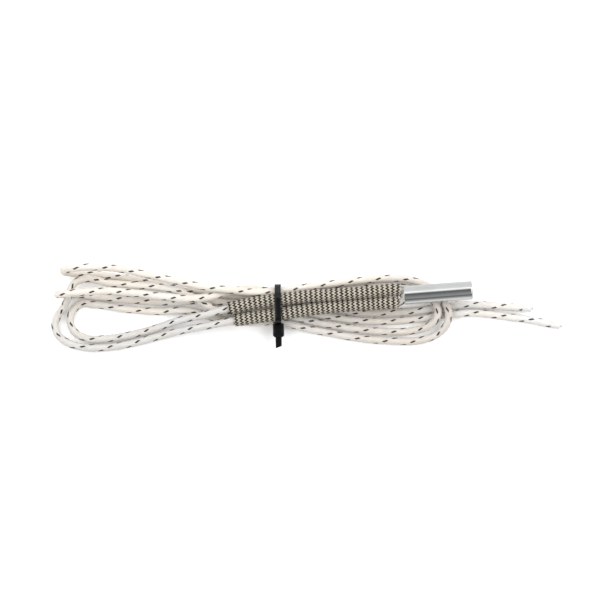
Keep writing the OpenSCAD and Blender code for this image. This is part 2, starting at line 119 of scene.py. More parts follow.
class Line:
    """A smooth line through points, in mm, sampled evenly, with frames that don't twist."""

    def __init__(self, points, step=0.2, fine=24):
        p = np.array(points, float)
        gap = np.linalg.norm(np.diff(p, axis=0), axis=1)
        leg = np.diff(p, axis=0) / gap[:, None]
        slope = np.empty_like(p)
        slope[0], slope[-1] = leg[0], leg[-1]
        a, b = gap[:-1, None], gap[1:, None]
        slope[1:-1] = (leg[:-1] * b + leg[1:] * a) / (a + b)
        w = (np.arange(fine) / fine)[:, None]
        dense = []
        for i in range(len(gap)):
            dense.append((2 * w**3 - 3 * w**2 + 1) * p[i] + (w**3 - 2 * w**2 + w) * gap[i] * slope[i]
                         + (3 * w**2 - 2 * w**3) * p[i + 1] + (w**3 - w**2) * gap[i] * slope[i + 1])
        dense = np.concatenate(dense + [p[-1:]])
        run = np.concatenate([[0], np.cumsum(np.linalg.norm(np.diff(dense, axis=0), axis=1))])
        self.length = run[-1]
        self.knots = run[::fine]
        self.s = np.linspace(0, self.length, int(round(self.length / step)) + 1)
        self.p = np.stack([np.interp(self.s, run, dense[:, k]) for k in range(3)], axis=1)
        self.way = unit(np.gradient(self.p, axis=0))
        side = np.empty_like(self.way)
        v = np.array([0.0, 1.0, 0.0])
        for i, t in enumerate(self.way):
            v = v - (v @ t) * t
            v = v / np.linalg.norm(v)
            side[i] = v
        self.side = side
        self.up = np.cross(self.way, self.side)

    def at(self, s, phi, r):
        """Points at distances s along the line, angles phi round it and distances r from it."""
        shape = np.broadcast(s, phi, r).shape
        s, phi, r = (np.broadcast_to(x, shape).ravel() for x in (s, phi, r))
        i = np.clip(s / self.s[1], 0, len(self.s) - 1.000001)
        k = i.astype(int)
        f = (i - k)[:, None]

        def between(a):
            return a[k] * (1 - f) + a[k + 1] * f

        over = (s - np.clip(s, 0, self.length))[:, None]
        out = between(self.p) + over * between(self.way)
        aside = np.cos(phi)[:, None] * between(self.side) + np.sin(phi)[:, None] * between(self.up)
        return (out + r[:, None] * aside).reshape(*shape, 3)


def on_table(points):
    """Points with heights over the table, in the shared frame, in metres."""
    return (np.asarray(points, float) - (0, 0, TABLE_DROP)) * MM


line_a, line_b = Line(ROUTE_A), Line(ROUTE_B)


# Mesh helpers

def make_mesh(name, points, faces, marks=None, uv=None):
    """A mesh object from points in metres. marks are numbers per point by name, uv one pair per point."""
    mesh = bpy.data.meshes.new(name)
    quads = [np.asarray(f, np.int32) for f in faces]
    loops = np.concatenate([q.ravel() for q in quads])
    sizes = np.concatenate([np.full(len(q), q.shape[1], np.int32) for q in quads])
    mesh.vertices.add(len(points))
    mesh.vertices.foreach_set("co", np.asarray(points, np.float32).ravel())
    mesh.loops.add(len(loops))
    mesh.loops.foreach_set("vertex_index", loops)
    mesh.polygons.add(len(sizes))
    mesh.polygons.foreach_set("loop_start", np.concatenate([[0], np.cumsum(sizes)[:-1]]).astype(np.int32))
    mesh.polygons.foreach_set("loop_total", sizes)
    mesh.polygons.foreach_set("use_smooth", np.full(len(sizes), True))
    for key, values in (marks or {}).items():
        layer = mesh.attributes.new(key, "FLOAT", "POINT")
        layer.data.foreach_set("value", np.asarray(values, np.float32).ravel())
    if uv is not None:
        layer = mesh.uv_layers.new(name="yarn")
        layer.data.foreach_set("uv", np.asarray(uv, np.float32)[loops].ravel())
    mesh.update()
    mesh.validate()
    ob = bpy.data.objects.new(name, mesh)
    scene.collection.objects.link(ob)
    return ob


def grid_faces(rows, columns, count, closed=False):
    """Quads of count grids of rows by columns points, laid one after another."""
    r, c = np.meshgrid(np.arange(rows - 1), np.arange(columns if closed else columns - 1), indexing="ij")
    nxt = (c + 1) % columns
    one = np.stack([r * columns + c, r * columns + nxt, (r + 1) * columns + nxt, (r + 1) * columns + c], -1)
    one = one.reshape(-1, 4)
    return (one[None] + (np.arange(count) * rows * columns)[:, None, None]).reshape(-1, 4)


def hashed(*keys):
    """A repeatable number from 0 to 1 for each set of one to three keys."""
    x = np.zeros(np.broadcast(*keys).shape)
    for i, k in enumerate(keys):
        x = x + np.asarray(k, float) * (12.9898, 78.233, 37.719)[i]
    return np.modf(np.abs(np.sin(x) * 43758.5453))[0]


class Parts:
    """Points, faces and marks gathered for one mesh."""

    def __init__(self):
        self.points, self.faces, self.tone, self.share, self.uv, self.count = [], [], [], [], [], 0

    def add(self, points, faces, tone=0.5, uv=None, share=0.0):
        flat = points.reshape(-1, 3)
        self.points.append(flat)
        self.faces.append(np.asarray(faces) + self.count)
        self.tone.append(np.broadcast_to(tone, len(flat)))
        self.share.append(np.broadcast_to(share, len(flat)))
        self.uv.append(np.zeros((len(flat), 2)) if uv is None else uv.reshape(-1, 2))
        self.count += len(flat)

    def build(self, name):
        """The gathered mesh, without the faces that a cut end has squeezed flat."""
        points, faces = np.concatenate(self.points), np.concatenate(self.faces)
        across = points[faces[:, 2:]] - points[faces[:, :2]]
        area = np.linalg.norm(np.cross(across[:, 0], across[:, 1]), axis=1) / 2
        used, faces = np.unique(faces[area > 1e-5], return_inverse=True)
        marks = {"tone": np.concatenate(self.tone)[used], "share": np.concatenate(self.share)[used]}
        return make_mesh(name, on_table(points[used]), [faces.reshape(-1, 4)], marks=marks,
                         uv=np.concatenate(self.uv)[used])


def tube(parts, line, s, radius, n, tone):
    """A tube along a line through the distances s."""
    phi = np.arange(n) * 2 * np.pi / n
    r = np.broadcast_to(np.asarray(radius, float), len(s))
    points = line.at(s[:, None], phi[None, :], r[:, None])
    uv = np.stack(np.broadcast_arrays(s[:, None], phi[None, :] * r[:, None]), -1)
    faces = grid_faces(len(s), n, 1, closed=True)[:, ::-1]
    parts.add(points, faces, tone, uv, np.repeat(s / line.length, n))


CORE_DEPTH = 0.17  # how far under a braid's surface the plain tube inside it lies, in mm
FLOAT_TAPER = 0.22  # how much narrower a float is at its ends
PRESS_BULGE = 0.11  # how far a sleeve swells towards the sleeve beside it, in mm


def cut_shift(lean, phi):
    """How far along the line a leaning cut lies at the angle phi round it."""
    return lean[0] * np.cos(phi) + lean[1] * np.sin(phi)


def floats(line, s0, s1, radius, n, pitch, hand, rows=6, columns=4, rise=0.07, dip=0.17, fill=0.98,
           reach=0.42, ragged=0.0, lean=(0.0, 0.0), loose=0.0, facing=None):
    """The stretches of a 2/2 braid that show: n yarns each way round a line, one hand of them.

    rise is the rounding of a yarn across its width, dip how deep its ends go under the next yarn, fill its
    share of the width between yarns, reach how far it runs on under the next, ragged and lean the unevenness
    and slope of the cut ends, loose the play of the yarns, and facing the angle of the side that is pressed
    on another braid. Returns the points, the yarn of each float, its tone, its coordinates along and across
    the yarn, and how far along the line its points are, as a share of the whole."""
    omega = 2 * np.pi / pitch
    round_r = radius - rise / 2
    alpha = math.atan2(2 * math.pi * round_r, pitch)
    half_wide = math.pi * round_r / n * math.cos(alpha) * fill
    m = np.arange(n // 2)
    phi_c = np.pi * (4 * m + (0.5 if hand > 0 else 2.5)) / n
    low = int(math.floor((s0 - pitch) / (pitch / n)))
    high = int(math.ceil((s1 + pitch) / (pitch / n)))
    t = np.arange(low, high + 1)
    t, phi_c = (x.ravel() for x in np.meshgrid(t, phi_c, indexing="ij"))
    if hand > 0:
        s_c = (phi_c + 2 * np.pi * t / n) / omega - pitch
        yarn = np.mod(-t, n)
    else:
        s_c = (2 * np.pi * t / n - phi_c) / omega
        yarn = np.mod(t, n)
    half_s = pitch / (2 * n) * (1 + reach)
    spread = 1 + loose * (hashed(phi_c, s_c) - 0.7)
    keep = (s_c > s0 + cut_shift(lean, phi_c) - half_s * 0.3) & (s_c < s1 + half_s * 0.3)
    s_c, phi_c, yarn, spread = s_c[keep], phi_c[keep], yarn[keep], spread[keep]
    nudge = loose * (hashed(s_c, phi_c, 3.0) - 0.5) * 2 * half_wide
    u = np.linspace(-1, 1, rows)[None, :, None]
    v = np.linspace(-1, 1, columns)[None, None, :]
    along = u * half_s / math.cos(alpha)
    across = v * half_wide * (1 - FLOAT_TAPER * np.abs(u) ** 3) * spread[:, None, None]
    across = across + (nudge * (1 + 0.5 * np.sin(5 * yarn)))[:, None, None] * (1 - u**2)
    s = s_c[:, None, None] + along * math.cos(alpha) - hand * across * math.sin(alpha)
    phi = phi_c[:, None, None] + (hand * along * math.sin(alpha) + across * math.cos(alpha)) / round_r
    fade = np.clip((np.abs(u) - 0.35) / 0.65, 0, 1)
    fade = fade * fade * (3 - 2 * fade)
    lift = (hashed(s_c, phi_c)[:, None, None] - 0.5) * rise * 0.35
    r = radius - rise * np.abs(v) ** 2.2 - dip * fade + lift * (1 - fade)
    if facing is not None:
        r = r + PRESS_BULGE * np.clip(np.cos(phi - facing), 0, 1) ** 6
    tuft = np.round(phi * 9)
    end0 = s0 + cut_shift(lean, phi) + ragged * (hashed(tuft, 1.0) - 0.5)
    end1 = s1 + ragged * (hashed(tuft, 2.0) - 0.5)
    s = np.clip(s, end0, end1)
    points = line.at(s, phi, r)
    tone = np.broadcast_to((0.65 * hashed(yarn, hand) + 0.35 * hashed(s_c, phi_c))[:, None, None], s.shape)
    uv = np.stack(np.broadcast_arrays(along + s_c[:, None, None] + 3.7 * yarn[:, None, None],
                                      across + 1.3 * yarn[:, None, None]), -1)
    return points, yarn, tone, uv, s / line.length


def add_floats(parts, made, chosen):
    points, _, tone, uv, share = (x[chosen] for x in made)
    faces = grid_faces(points.shape[1], points.shape[2], len(points))
    parts.add(points, faces, tone.ravel(), uv, share.ravel())


FIBRE_WIDE = 0.035  # half the width of a loose fibre at its root, in mm


def fibre(line, s_root, phi, r_root, long, flare, twist, way=1.0):
    """A loose fibre at a cut end: a thin ribbon that leaves the skin of the line as it runs on."""
    t = np.linspace(0, 1, 6)
    r = np.maximum(r_root + flare * t**2 * long, 0.3)
    wide = FIBRE_WIDE * (1 - 0.7 * t) / r
    edges = (phi + t * twist)[:, None] + wide[:, None] * np.array([[-1.0, 1.0]])
    points = line.at((s_root + way * t * long)[:, None], edges, r[:, None] + np.array([[0.0, 0.02]]))
    points[..., 2] = np.maximum(points[..., 2], 0.05)
    return points, grid_faces(6, 2, 1)


# Cartridge

def arc(x, r, radius, start, end, count):
    """Pairs of x and distance from the axis along an arc, with angles in degrees from +X."""
    a = np.radians(np.linspace(start, end, count))
    return list(zip(x + radius * np.cos(a), r + radius * np.sin(a)))


AROUND = 192  # points round a turned piece


def lathe(name, profile, wave=0.0, closed=False):
    """A piece turned about the cartridge's axis, from pairs of x and radius.

    wave moves its points along the axis. A profile that isn't closed gets a fan of faces at each end."""
    x, r = np.array(profile, float).T[:, :, None]
    phi = np.arange(AROUND) * 2 * np.pi / AROUND
    points = np.stack(np.broadcast_arrays(x + wave, r * np.cos(phi), r * np.sin(phi)), -1).reshape(-1, 3)
    if closed:
        faces = [grid_faces(len(profile) + 1, AROUND, 1, closed=True) % len(points)]
    else:
        ring = np.arange(AROUND)
        ahead, end = np.roll(ring, -1), len(points) - AROUND
        first, last = np.full(AROUND, len(points)), np.full(AROUND, len(points) + 1)
        faces = [grid_faces(len(profile), AROUND, 1, closed=True), np.stack([ahead, ring, first], 1),
                 np.stack([end + ring, end + ahead, last], 1)]
        points = np.concatenate([points, [(profile[0][0], 0, 0), (profile[-1][0], 0, 0)]])
    return make_mesh(name, points * MM, faces)


def make_sheath():
    """The drawn tube: broken edges at its mouth, rounded at its closed end."""
    outer, bore, edge = SHEATH_D / 2, SHEATH_D / 2 - SHEATH_WALL, 0.07
    turn = TIP_ROUND - 0.02
    return lathe("drawn_tube", arc(edge, outer - edge, edge, 180, 90, 6)
                 + [(0.3, outer), (SHEATH_L - 1, outer)]
                 + arc(SHEATH_L - turn, outer - turn, turn, 90, 0, 14)
                 + [(SHEATH_L, bore + 0.005), (SHEATH_L, bore), (SHEATH_L - 0.02, bore), (0.3, bore)]
                 + arc(edge, bore + edge, edge, 270, 180, 6), closed=True)


def make_disc():
    """The disc in the closed end: a low dome with the ripples of its weld round the rim."""
    rim = SHEATH_D / 2 - SHEATH_WALL - 0.01
    dome_r = (rim**2 + WELD_RISE**2) / (2 * WELD_RISE)
    r = np.linspace(rim, 0.06, 48)
    x = SHEATH_L + WELD_RISE - dome_r + np.sqrt(dome_r**2 - r**2)
    back = SHEATH_L - DISC_T
    profile = [(back, 0.06), (back, rim - 0.01), (back + 0.01, rim), (SHEATH_L - 0.02, rim)] + list(zip(x, r))
    phi = np.arange(AROUND) * 2 * np.pi / AROUND
    bead_r, bead_wide, bead_rise, ripples = 2.3, 0.17, 0.03, 38
    across = (np.array(profile)[:, 1:] - bead_r) / bead_wide
    wave = bead_rise * np.exp(-across**2) * (1 + 0.24 * np.cos(ripples * phi - 1.4 * across**2))
    wave[:4] = 0
    return lathe("welded_end", profile, wave)


tube_piece, disc_piece = make_sheath(), make_disc()


# Leads

LEAD_YARNS, LEAD_PITCH = 12, 18.0
CORE_STEP, CORE_SIDES = 0.9, 12


def make_lead(name, line, turn):
    """A braided lead and its two dark tracer yarns, which lie opposite each other."""
    white, dark = Parts(), Parts()
    rings = np.linspace(0, line.length, int(line.length / CORE_STEP))
    tube(white, line, rings, LEAD_D / 2 - CORE_DEPTH, CORE_SIDES, 0.45)
    for hand in (1, -1):
        made = floats(line, 0.0, line.length, LEAD_D / 2, LEAD_YARNS, LEAD_PITCH, hand)
        tracer = (made[1] % (LEAD_YARNS // 2) == turn) & (hand < 0)
        add_floats(white, made, ~tracer)
        if tracer.any():
            add_floats(dark, made, tracer)
    return white.build(name), dark.build(name + "_tracers")


lead_a, tracers_a = make_lead("braid_a", line_a, 0)
lead_b, tracers_b = make_lead("braid_b", line_b, 2)


# Herringbone sleeves

SLEEVE_YARNS, SLEEVE_PITCH = 24, 19.8
FAR_FIBRES, MOUTH_FIBRES = 48, 24


def make_sleeve(name, line, facing):
    """A woven sleeve round the first stretch of a lead: dark and cream yarns take turns both ways round.

    facing is the angle round the line of the side that lies on the other sleeve."""
    s0, s1 = line.knots[SLEEVE_FIRST], line.knots[SLEEVE_LAST]
    dark, cream = Parts(), Parts()
    k = int(round(s0 / line.s[1]))
    lean = SLEEVE_D / 2 * np.array([line.side[k, 0], line.up[k, 0]]) / abs(line.way[k, 0])
    s = np.linspace(s0 + 0.1 + np.abs(lean).max(), s1 - 0.05, 90)
    wall = np.concatenate([s, [s[-1], s[-1]], s[::-1], [s[0], s[0]]])
    outer, inner = SLEEVE_D / 2 - CORE_DEPTH, SLEEVE_BORE / 2
    radius = np.concatenate([np.full(len(s), outer), [outer - 0.05, inner + 0.05], np.full(len(s), inner),
                             [inner + 0.05, outer - 0.05]])
    tube(dark, line, np.append(wall, s[0]), np.append(radius, outer), 28, 0.4)
    for hand in (1, -1):
        made = floats(line, s0, s1, SLEEVE_D / 2, SLEEVE_YARNS, SLEEVE_PITCH, hand, rows=7, columns=5,
                      rise=0.08, dip=0.15, fill=0.96, reach=0.35, ragged=0.4, lean=lean, loose=0.22,
                      facing=facing)
        is_dark = made[1] % 2 == 0
        add_floats(dark, made, is_dark)
        add_floats(cream, made, ~is_dark)
    for k in range(FAR_FIBRES + MOUTH_FIBRES):
        seed = k + 100 * facing
        at_mouth = k >= FAR_FIBRES
        phi = 2 * np.pi * hashed(seed, 13.0)
        r_root = SLEEVE_D / 2 - 0.08 - 0.3 * hashed(seed, 29.0)
        long = (0.4 + 0.6 * hashed(seed, 11.0)) * (0.7 if at_mouth else 1.0)
        s_root = s0 + cut_shift(lean, phi) + 0.3 if at_mouth else s1 - 0.3
        made = fibre(line, s_root, phi, r_root, long, 0.4 * (hashed(seed, 17.0) - 0.45),
                     0.6 * (hashed(seed, 19.0) - 0.5), -1.0 if at_mouth else 1.0)
        (cream if k % 2 else dark).add(*made, 0.6)
    return dark.build(name + "_dark"), cream.build(name + "_cream")


sleeve_a = make_sleeve("sleeve_yarns_a", line_a, math.pi)
sleeve_b = make_sleeve("sleeve_yarns_b", line_b, 0.0)


# Bared ends of the leads

WRAP_YARNS, BRAID_FIBRES, WRAP_FIBRES = 18, 26, 20
STRANDS, STRAND_STEPS, STRAND_SIDES = 7, 14, 8


def end_line(points, extra):
    """The straight line on from a lead's last point, and the distance along it at which the braid ends."""
    last, before = np.array(points[-1], float), np.array(points[-2], float)
    way = unit(last - before)
    return Line([last - way * 1.0, last, last + way * extra / 2, last + way * extra], step=0.1), 1.0


def make_end(name, points):
    """The inner wrap that shows past the braid's cut end, and the twisted strands that stand out of it."""
    line, start = end_line(points, WRAP_L + STRAND_L)
    wrap, wires = Parts(), Parts()
    s = np.concatenate([np.linspace(start - 0.5, start + WRAP_L, 24), np.full(2, start + WRAP_L)])
    r = np.concatenate([np.full(24, WRAP_D / 2 - 0.1), [0.75, CONDUCTOR_D / 2]])
    tube(wrap, line, s, r, 20, 0.5)
    u = np.linspace(0, 1, 26)
    v = np.linspace(-1, 1, 4)
    for k in range(WRAP_YARNS):
        short = 0.22 * hashed(float(k), 3.0)
        sk = start - 0.4 + u * (WRAP_L + 0.4 - short)
        phi0 = 2 * np.pi * k / WRAP_YARNS + sk / 9.0 * 2 * np.pi
        phi = phi0[:, None] + v[None, :] * np.pi / WRAP_YARNS * 0.97
        rr = WRAP_D / 2 - 0.06 * np.abs(v)[None, :] ** 2 - 0.05 * hashed(float(k), 5.0)
        points_k = line.at(sk[:, None], phi, np.broadcast_to(rr, phi.shape))
        uv = np.stack(np.broadcast_arrays(sk[:, None] + 2.0 * k, v[None, :] * 0.18 + k), -1)
        wrap.add(points_k, grid_faces(len(sk), 4, 1), float(hashed(float(k), 7.0)), uv)
    # loose fibres at the braid's cut end and at the wrap's end
    for k in range(BRAID_FIBRES + WRAP_FIBRES):
        late = k >= BRAID_FIBRES
        s_root = start + (WRAP_L - 0.25 if late else -0.5)
        r_root = (WRAP_D if late else LEAD_D) / 2 - 0.05
        long = (0.5 + 0.5 * hashed(float(k), 11.0)) * (0.75 if late else 1.0)
        phi = 2 * np.pi * hashed(float(k), 13.0)
        flare = (0.16 + 0.2 * hashed(float(k), 17.0)) * (-1.0 if late and k % 2 else 1.0)
        twist = 0.5 * (hashed(float(k), 19.0) - 0.4)
        wrap.add(*fibre(line, s_root, phi, r_root, long, flare, twist), 0.8)
    w = np.arange(STRAND_SIDES) * 2 * np.pi / STRAND_SIDES
    for k in range(STRANDS):
        offset = 0.0 if k == 0 else CONDUCTOR_D / 3
        tip = start + WRAP_L + STRAND_L - 0.12 * hashed(float(k), 23.0)
        sk = np.linspace(start + WRAP_L - 0.4, tip, STRAND_STEPS)
        phi0 = 2 * np.pi * k / (STRANDS - 1) + sk / 6.0 * 2 * np.pi
        middle = line.at(sk, phi0, np.full(STRAND_STEPS, offset))
        way = unit(np.gradient(middle, axis=0))
        a = unit(np.cross(way, (0.0, 0.0, 1.0)))
        b = np.cross(way, a)
        ring = middle[:, None] + CONDUCTOR_D / 6 * (np.cos(w)[None, :, None] * a[:, None]
                                                    + np.sin(w)[None, :, None] * b[:, None])
        wires.add(ring, grid_faces(STRAND_STEPS, STRAND_SIDES, 1, closed=True), 0.5)
        wires.add(ring[-1], [[0, 1, 2, 3], [0, 3, 4, 5], [0, 5, 6, 7]], 0.5)
    return wrap.build(name + "_wrap"), wires.build(name + "_strands")


end_a = make_end("bared_a", ROUTE_A)
end_b = make_end("bared_b", ROUTE_B)


# Cable tie

def held(route, i, r):
    """Where a run of radius r passes the strap's two edges, as y, height and r."""
    p = [np.array(route[k], float) for k in (i - 1, i, i + 1)]
    return [(*(p[1] + (q - p[1]) * STRAP_W / 2 / abs(q[0] - p[1][0]))[1:], r) for q in (p[0], p[2])]


def hull(points):
    """The convex outline of points in a plane, counter-clockwise."""
    points = sorted(map(tuple, points))

    def half(ps):
        out = []
        for q in ps:
            while len(out) > 1 and ((out[-1][0] - out[-2][0]) * (q[1] - out[-2][1])
                                    - (out[-1][1] - out[-2][1]) * (q[0] - out[-2][0])) <= 0:
                out.pop()
            out.append(q)
        return out[:-1]

    return np.array(half(points) + half(points[::-1]))


def tie_ring():
    """The strap's middle line round the bundle, as y and height, evenly spaced."""
    sleeve_r, lead_r = SLEEVE_D / 2, LEAD_D / 2
    circles = (held(ROUTE_A, 7, sleeve_r) + held(ROUTE_B, 7, sleeve_r) + held(ROUTE_A, 44, lead_r)
               + held(ROUTE_B, 49, lead_r) + held(ROUTE_A, 27, lead_r))
    w = np.arange(64) * 2 * np.pi / 64
    grow = TIE_GAP + STRAP_T / 2
    cloud = np.concatenate([np.stack([y + (r + grow) * np.cos(w), z + (r + grow) * np.sin(w)], 1)
                            for y, z, r in circles])
    ring = hull(cloud)
    closed = np.concatenate([ring, ring[:1]])
    run = np.concatenate([[0], np.cumsum(np.linalg.norm(np.diff(closed, axis=0), axis=1))])
    s = np.linspace(0, run[-1], 141)[:-1]
    return np.stack([np.interp(s, run, closed[:, k]) for k in range(2)], 1)


def rounded_box(size, centre, bevel, segments=3):
    bm = bmesh.new()
    bmesh.ops.create_cube(bm, size=1.0)
    for v in bm.verts:
        v.co = Vector(v.co[k] * size[k] + centre[k] for k in range(3))
    bmesh.ops.bevel(bm, geom=bm.edges[:], offset=bevel, segments=segments, profile=0.6, affect="EDGES")
    return bm


def pour(source, target):
    """Adds one bmesh to another and frees it."""
    mesh = bpy.data.meshes.new("tie_scratch")
    source.to_mesh(mesh)
    source.free()
    target.from_mesh(mesh)
    bpy.data.meshes.remove(mesh)


RUNG_STEP, TAIL_SLANT = 0.62, 20


def make_tie():
    """A smooth strap round the bundle, the head, and the cut tail with its rails and rungs."""
    joined = bmesh.new()
    x0 = TIE_X
    ring = tie_ring()
    ahead = unit(np.roll(ring, -1, 0) - np.roll(ring, 1, 0))
    out = np.stack([ahead[:, 1], -ahead[:, 0]], 1)
    w, t, c = STRAP_W / 2, STRAP_T / 2, 0.2
    profile = []
    for sx, st, a0 in ((1, 1, 0), (-1, 1, 90), (-1, -1, 180), (1, -1, 270)):
        for a in (0, 30, 60, 90):
            b = math.radians(a0 + a)
            profile.append((sx * (w - c) + c * math.cos(b), st * (t - c) + c * math.sin(b)))
    bm = bmesh.new()
    rings = []
    for (y, z), o in zip(ring, out):
        rings.append([bm.verts.new((x0 + px, y + o[0] * pt, z + o[1] * pt)) for px, pt in profile])
    n = len(profile)
    for i in range(len(rings)):
        a, b = rings[i], rings[(i + 1) % len(rings)]
        for k in range(n):
            bm.faces.new((a[k], a[(k + 1) % n], b[(k + 1) % n], b[k]))
    pour(bm, joined)
    # head: a rounded block with a lip at its outer end and a raised field on top
    y1, y0 = HEAD_Y + 0.35, HEAD_Y - HEAD_L
    pour(rounded_box((HEAD_W, y1 - y0, HEAD_H), (x0, (y0 + y1) / 2, HEAD_Z), 0.42, 4), joined)
    pour(rounded_box((HEAD_W - 0.7, 0.5, HEAD_H - 0.5), (x0, y0 - 0.02, HEAD_Z), 0.18, 3), joined)
    pour(rounded_box((HEAD_W - 1.1, 1.5, 0.35), (x0, y0 + 1.6, HEAD_Z + HEAD_H / 2), 0.14, 3), joined)
    # tail: a floor with two rails and rungs between them, cut off at a slant
    tail_end = y0 - TAIL_L
    bm = bmesh.new()
    long = y0 + 0.6 - tail_end
    middle = (y0 + 0.6 + tail_end) / 2

    def bar(size, centre, bevel):
        pour(rounded_box(size, centre, bevel, 2), bm)

    bar((STRAP_W - 0.1, long, STRAP_T - 0.28), (x0, middle, HEAD_Z - 0.1), 0.08)
    for side in (-1, 1):
        bar((0.42, long, STRAP_T), (x0 + side * (STRAP_W / 2 - 0.21), middle, HEAD_Z), 0.1)
    rung_z = HEAD_Z + STRAP_T / 2 - 0.2
    for k in range(int(long / RUNG_STEP)):
        bar((STRAP_W - 0.7, 0.34, 0.3), (x0, tail_end + 0.45 + RUNG_STEP * k, rung_z), 0.09)
    slant = math.tan(math.radians(TAIL_SLANT))
    for v in bm.verts:
        share = min(1.0, max(0.0, (tail_end + 1.6 - v.co.y) / 1.6))
        v.co.y += share * slant * (v.co.x - x0 + STRAP_W / 2)
    pour(bm, joined)
    lean = Matrix.Rotation(math.radians(TIE_LEAN), 3, "Z")
    pivot = Vector((TIE_X, TIE_LEAN_Y, 0))
    for v in joined.verts:
        v.co = Vector(on_table([lean @ (v.co - pivot) + pivot])[0])
    mesh = bpy.data.meshes.new("tie_moulded")
    joined.normal_update()
    joined.to_mesh(mesh)
    joined.free()
    for p in mesh.polygons:
        p.use_smooth = True
    ob = bpy.data.objects.new("tie_moulded", mesh)
    scene.collection.objects.link(ob)
    return ob


tie = make_tie()


# Materials

def new_material(name):
    m = bpy.data.materials.new(name)
    m.use_nodes = True
    tree = m.node_tree
    tree.nodes.clear()
    out = tree.nodes.new("ShaderNodeOutputMaterial")
    shader = tree.nodes.new("ShaderNodeBsdfPrincipled")
    tree.links.new(shader.outputs[0], out.inputs[0])
    return m, tree, shader


def link(tree, a, b):
    tree.links.new(a, b)


def coordinates(tree, kind, scale):
    tc = tree.nodes.new("ShaderNodeTexCoord")
    mp = tree.nodes.new("ShaderNodeMapping")
    mp.inputs["Scale"].default_value = scale
    link(tree, tc.outputs[kind], mp.inputs["Vector"])
    return mp.outputs[0]


def noise(tree, vector, scale, detail=3.0, rough=0.55):
    n = tree.nodes.new("ShaderNodeTexNoise")
    n.inputs["Scale"].default_value = scale
    n.inputs["Detail"].default_value = detail
    n.inputs["Roughness"].default_value = rough
    link(tree, vector, n.inputs["Vector"])
    return n.outputs[0]


def ramp(tree, value, stops):
    r = tree.nodes.new("ShaderNodeValToRGB")
    while len(r.color_ramp.elements) < len(stops):
        r.color_ramp.elements.new(0.5)
    for e, (at, colour) in zip(r.color_ramp.elements, stops):
        e.position = at
        e.color = (*colour, 1)
    link(tree, value, r.inputs[0])
    return r.outputs[0]


def spread_to(tree, value, low, high):
    r = tree.nodes.new("ShaderNodeMapRange")
    r.inputs["To Min"].default_value = low
    r.inputs["To Max"].default_value = high
    link(tree, value, r.inputs["Value"])
    return r.outputs[0]


def bump(tree, value, strength, distance, before=None):
    b = tree.nodes.new("ShaderNodeBump")
    b.inputs["Strength"].default_value = strength
    b.inputs["Distance"].default_value = distance
    link(tree, value, b.inputs["Height"])
    if before is not None:
        link(tree, before, b.inputs["Normal"])
    return b.outputs[0]


def mixed(tree, factor, a, b, mode="MIX"):
    m = tree.nodes.new("ShaderNodeMix")
    m.data_type = "RGBA"
    m.blend_type = mode
    m.inputs[0].default_value = factor
    link(tree, a, m.inputs[6])
    link(tree, b, m.inputs[7])
    return m.outputs[2]


def yarn_material(name, dark, light, rough, sheen, tint=None, painted_shade=None):
    """Glass yarn: fibres run along each float, and each yarn has its own tone.

    tint is a colour that comes and goes in patches, and the last argument paints shade and light into the
    colours by the share of the lead's length."""
    m, tree, shader = new_material(name)
    uv = tree.nodes.new("ShaderNodeUVMap")
    uv.uv_map = "yarn"
    mp = tree.nodes.new("ShaderNodeMapping")
    mp.inputs["Scale"].default_value = (0.9, 16.0, 1.0)
    link(tree, uv.outputs[0], mp.inputs["Vector"])
    fibres = noise(tree, mp.outputs[0], 1.0, 4.0, 0.6)
    tone = tree.nodes.new("ShaderNodeAttribute")
    tone.attribute_name = "tone"
    by_yarn = ramp(tree, tone.outputs["Fac"], [(0.0, dark), (1.0, light)])
    by_fibre = ramp(tree, fibres, [(0.25, dark), (0.75, light)])
    colour = mixed(tree, 0.5, by_yarn, by_fibre)
    if tint:
        patches = noise(tree, coordinates(tree, "Object", (1, 1, 1)), 45.0, 2.0)
        colour = mixed(tree, 1.0, colour, ramp(tree, patches, [(0.4, (1, 1, 1)), (0.6, tint)]), "MULTIPLY")
    # painted shade and light along the lead, by the share of its length
    if painted_shade:
        share = tree.nodes.new("ShaderNodeAttribute")
        share.attribute_name = "share"
        colour = mixed(tree, 1.0, colour, ramp(tree, share.outputs["Fac"], painted_shade), "MULTIPLY")
    link(tree, colour, shader.inputs["Base Color"])
    link(tree, spread_to(tree, fibres, *rough), shader.inputs["Roughness"])
    link(tree, bump(tree, fibres, 0.45, 0.00004), shader.inputs["Normal"])
    shader.inputs["Sheen Weight"].default_value = sheen
    shader.inputs["Sheen Roughness"].default_value = 0.4
    shader.inputs["Specular IOR Level"].default_value = 0.35
    return m


def steel_material(name, base, rough, lines, weld=False):
    """Drawn and polished steel with faint lines along the draw and slight smears."""
    m, tree, shader = new_material(name)
    shader.inputs["Metallic"].default_value = 1.0
    drawn = noise(tree, coordinates(tree, "Object", lines), 1.0, 3.0)
    smear = noise(tree, coordinates(tree, "Object", (160, 260, 260)), 1.0, 4.0)
    low = tuple(c * 0.93 for c in base)
    link(tree, ramp(tree, smear, [(0.35, low), (0.65, base)]), shader.inputs["Base Color"])
    both = tree.nodes.new("ShaderNodeMath")
    both.operation = "ADD"
    link(tree, drawn, both.inputs[0])
    link(tree, smear, both.inputs[1])
    half = tree.nodes.new("ShaderNodeMath")
    half.operation = "MULTIPLY"
    half.inputs[1].default_value = 0.5
    link(tree, both.outputs[0], half.inputs[0])
    link(tree, spread_to(tree, half.outputs[0], *rough), shader.inputs["Roughness"])
    normal = bump(tree, drawn, 0.08, 0.00002)
    if weld:
        pits = noise(tree, coordinates(tree, "Object", (900, 900, 900)), 1.0, 2.0)
        normal = bump(tree, pits, 0.35, 0.00006, normal)
    link(tree, normal, shader.inputs["Normal"])
    return m


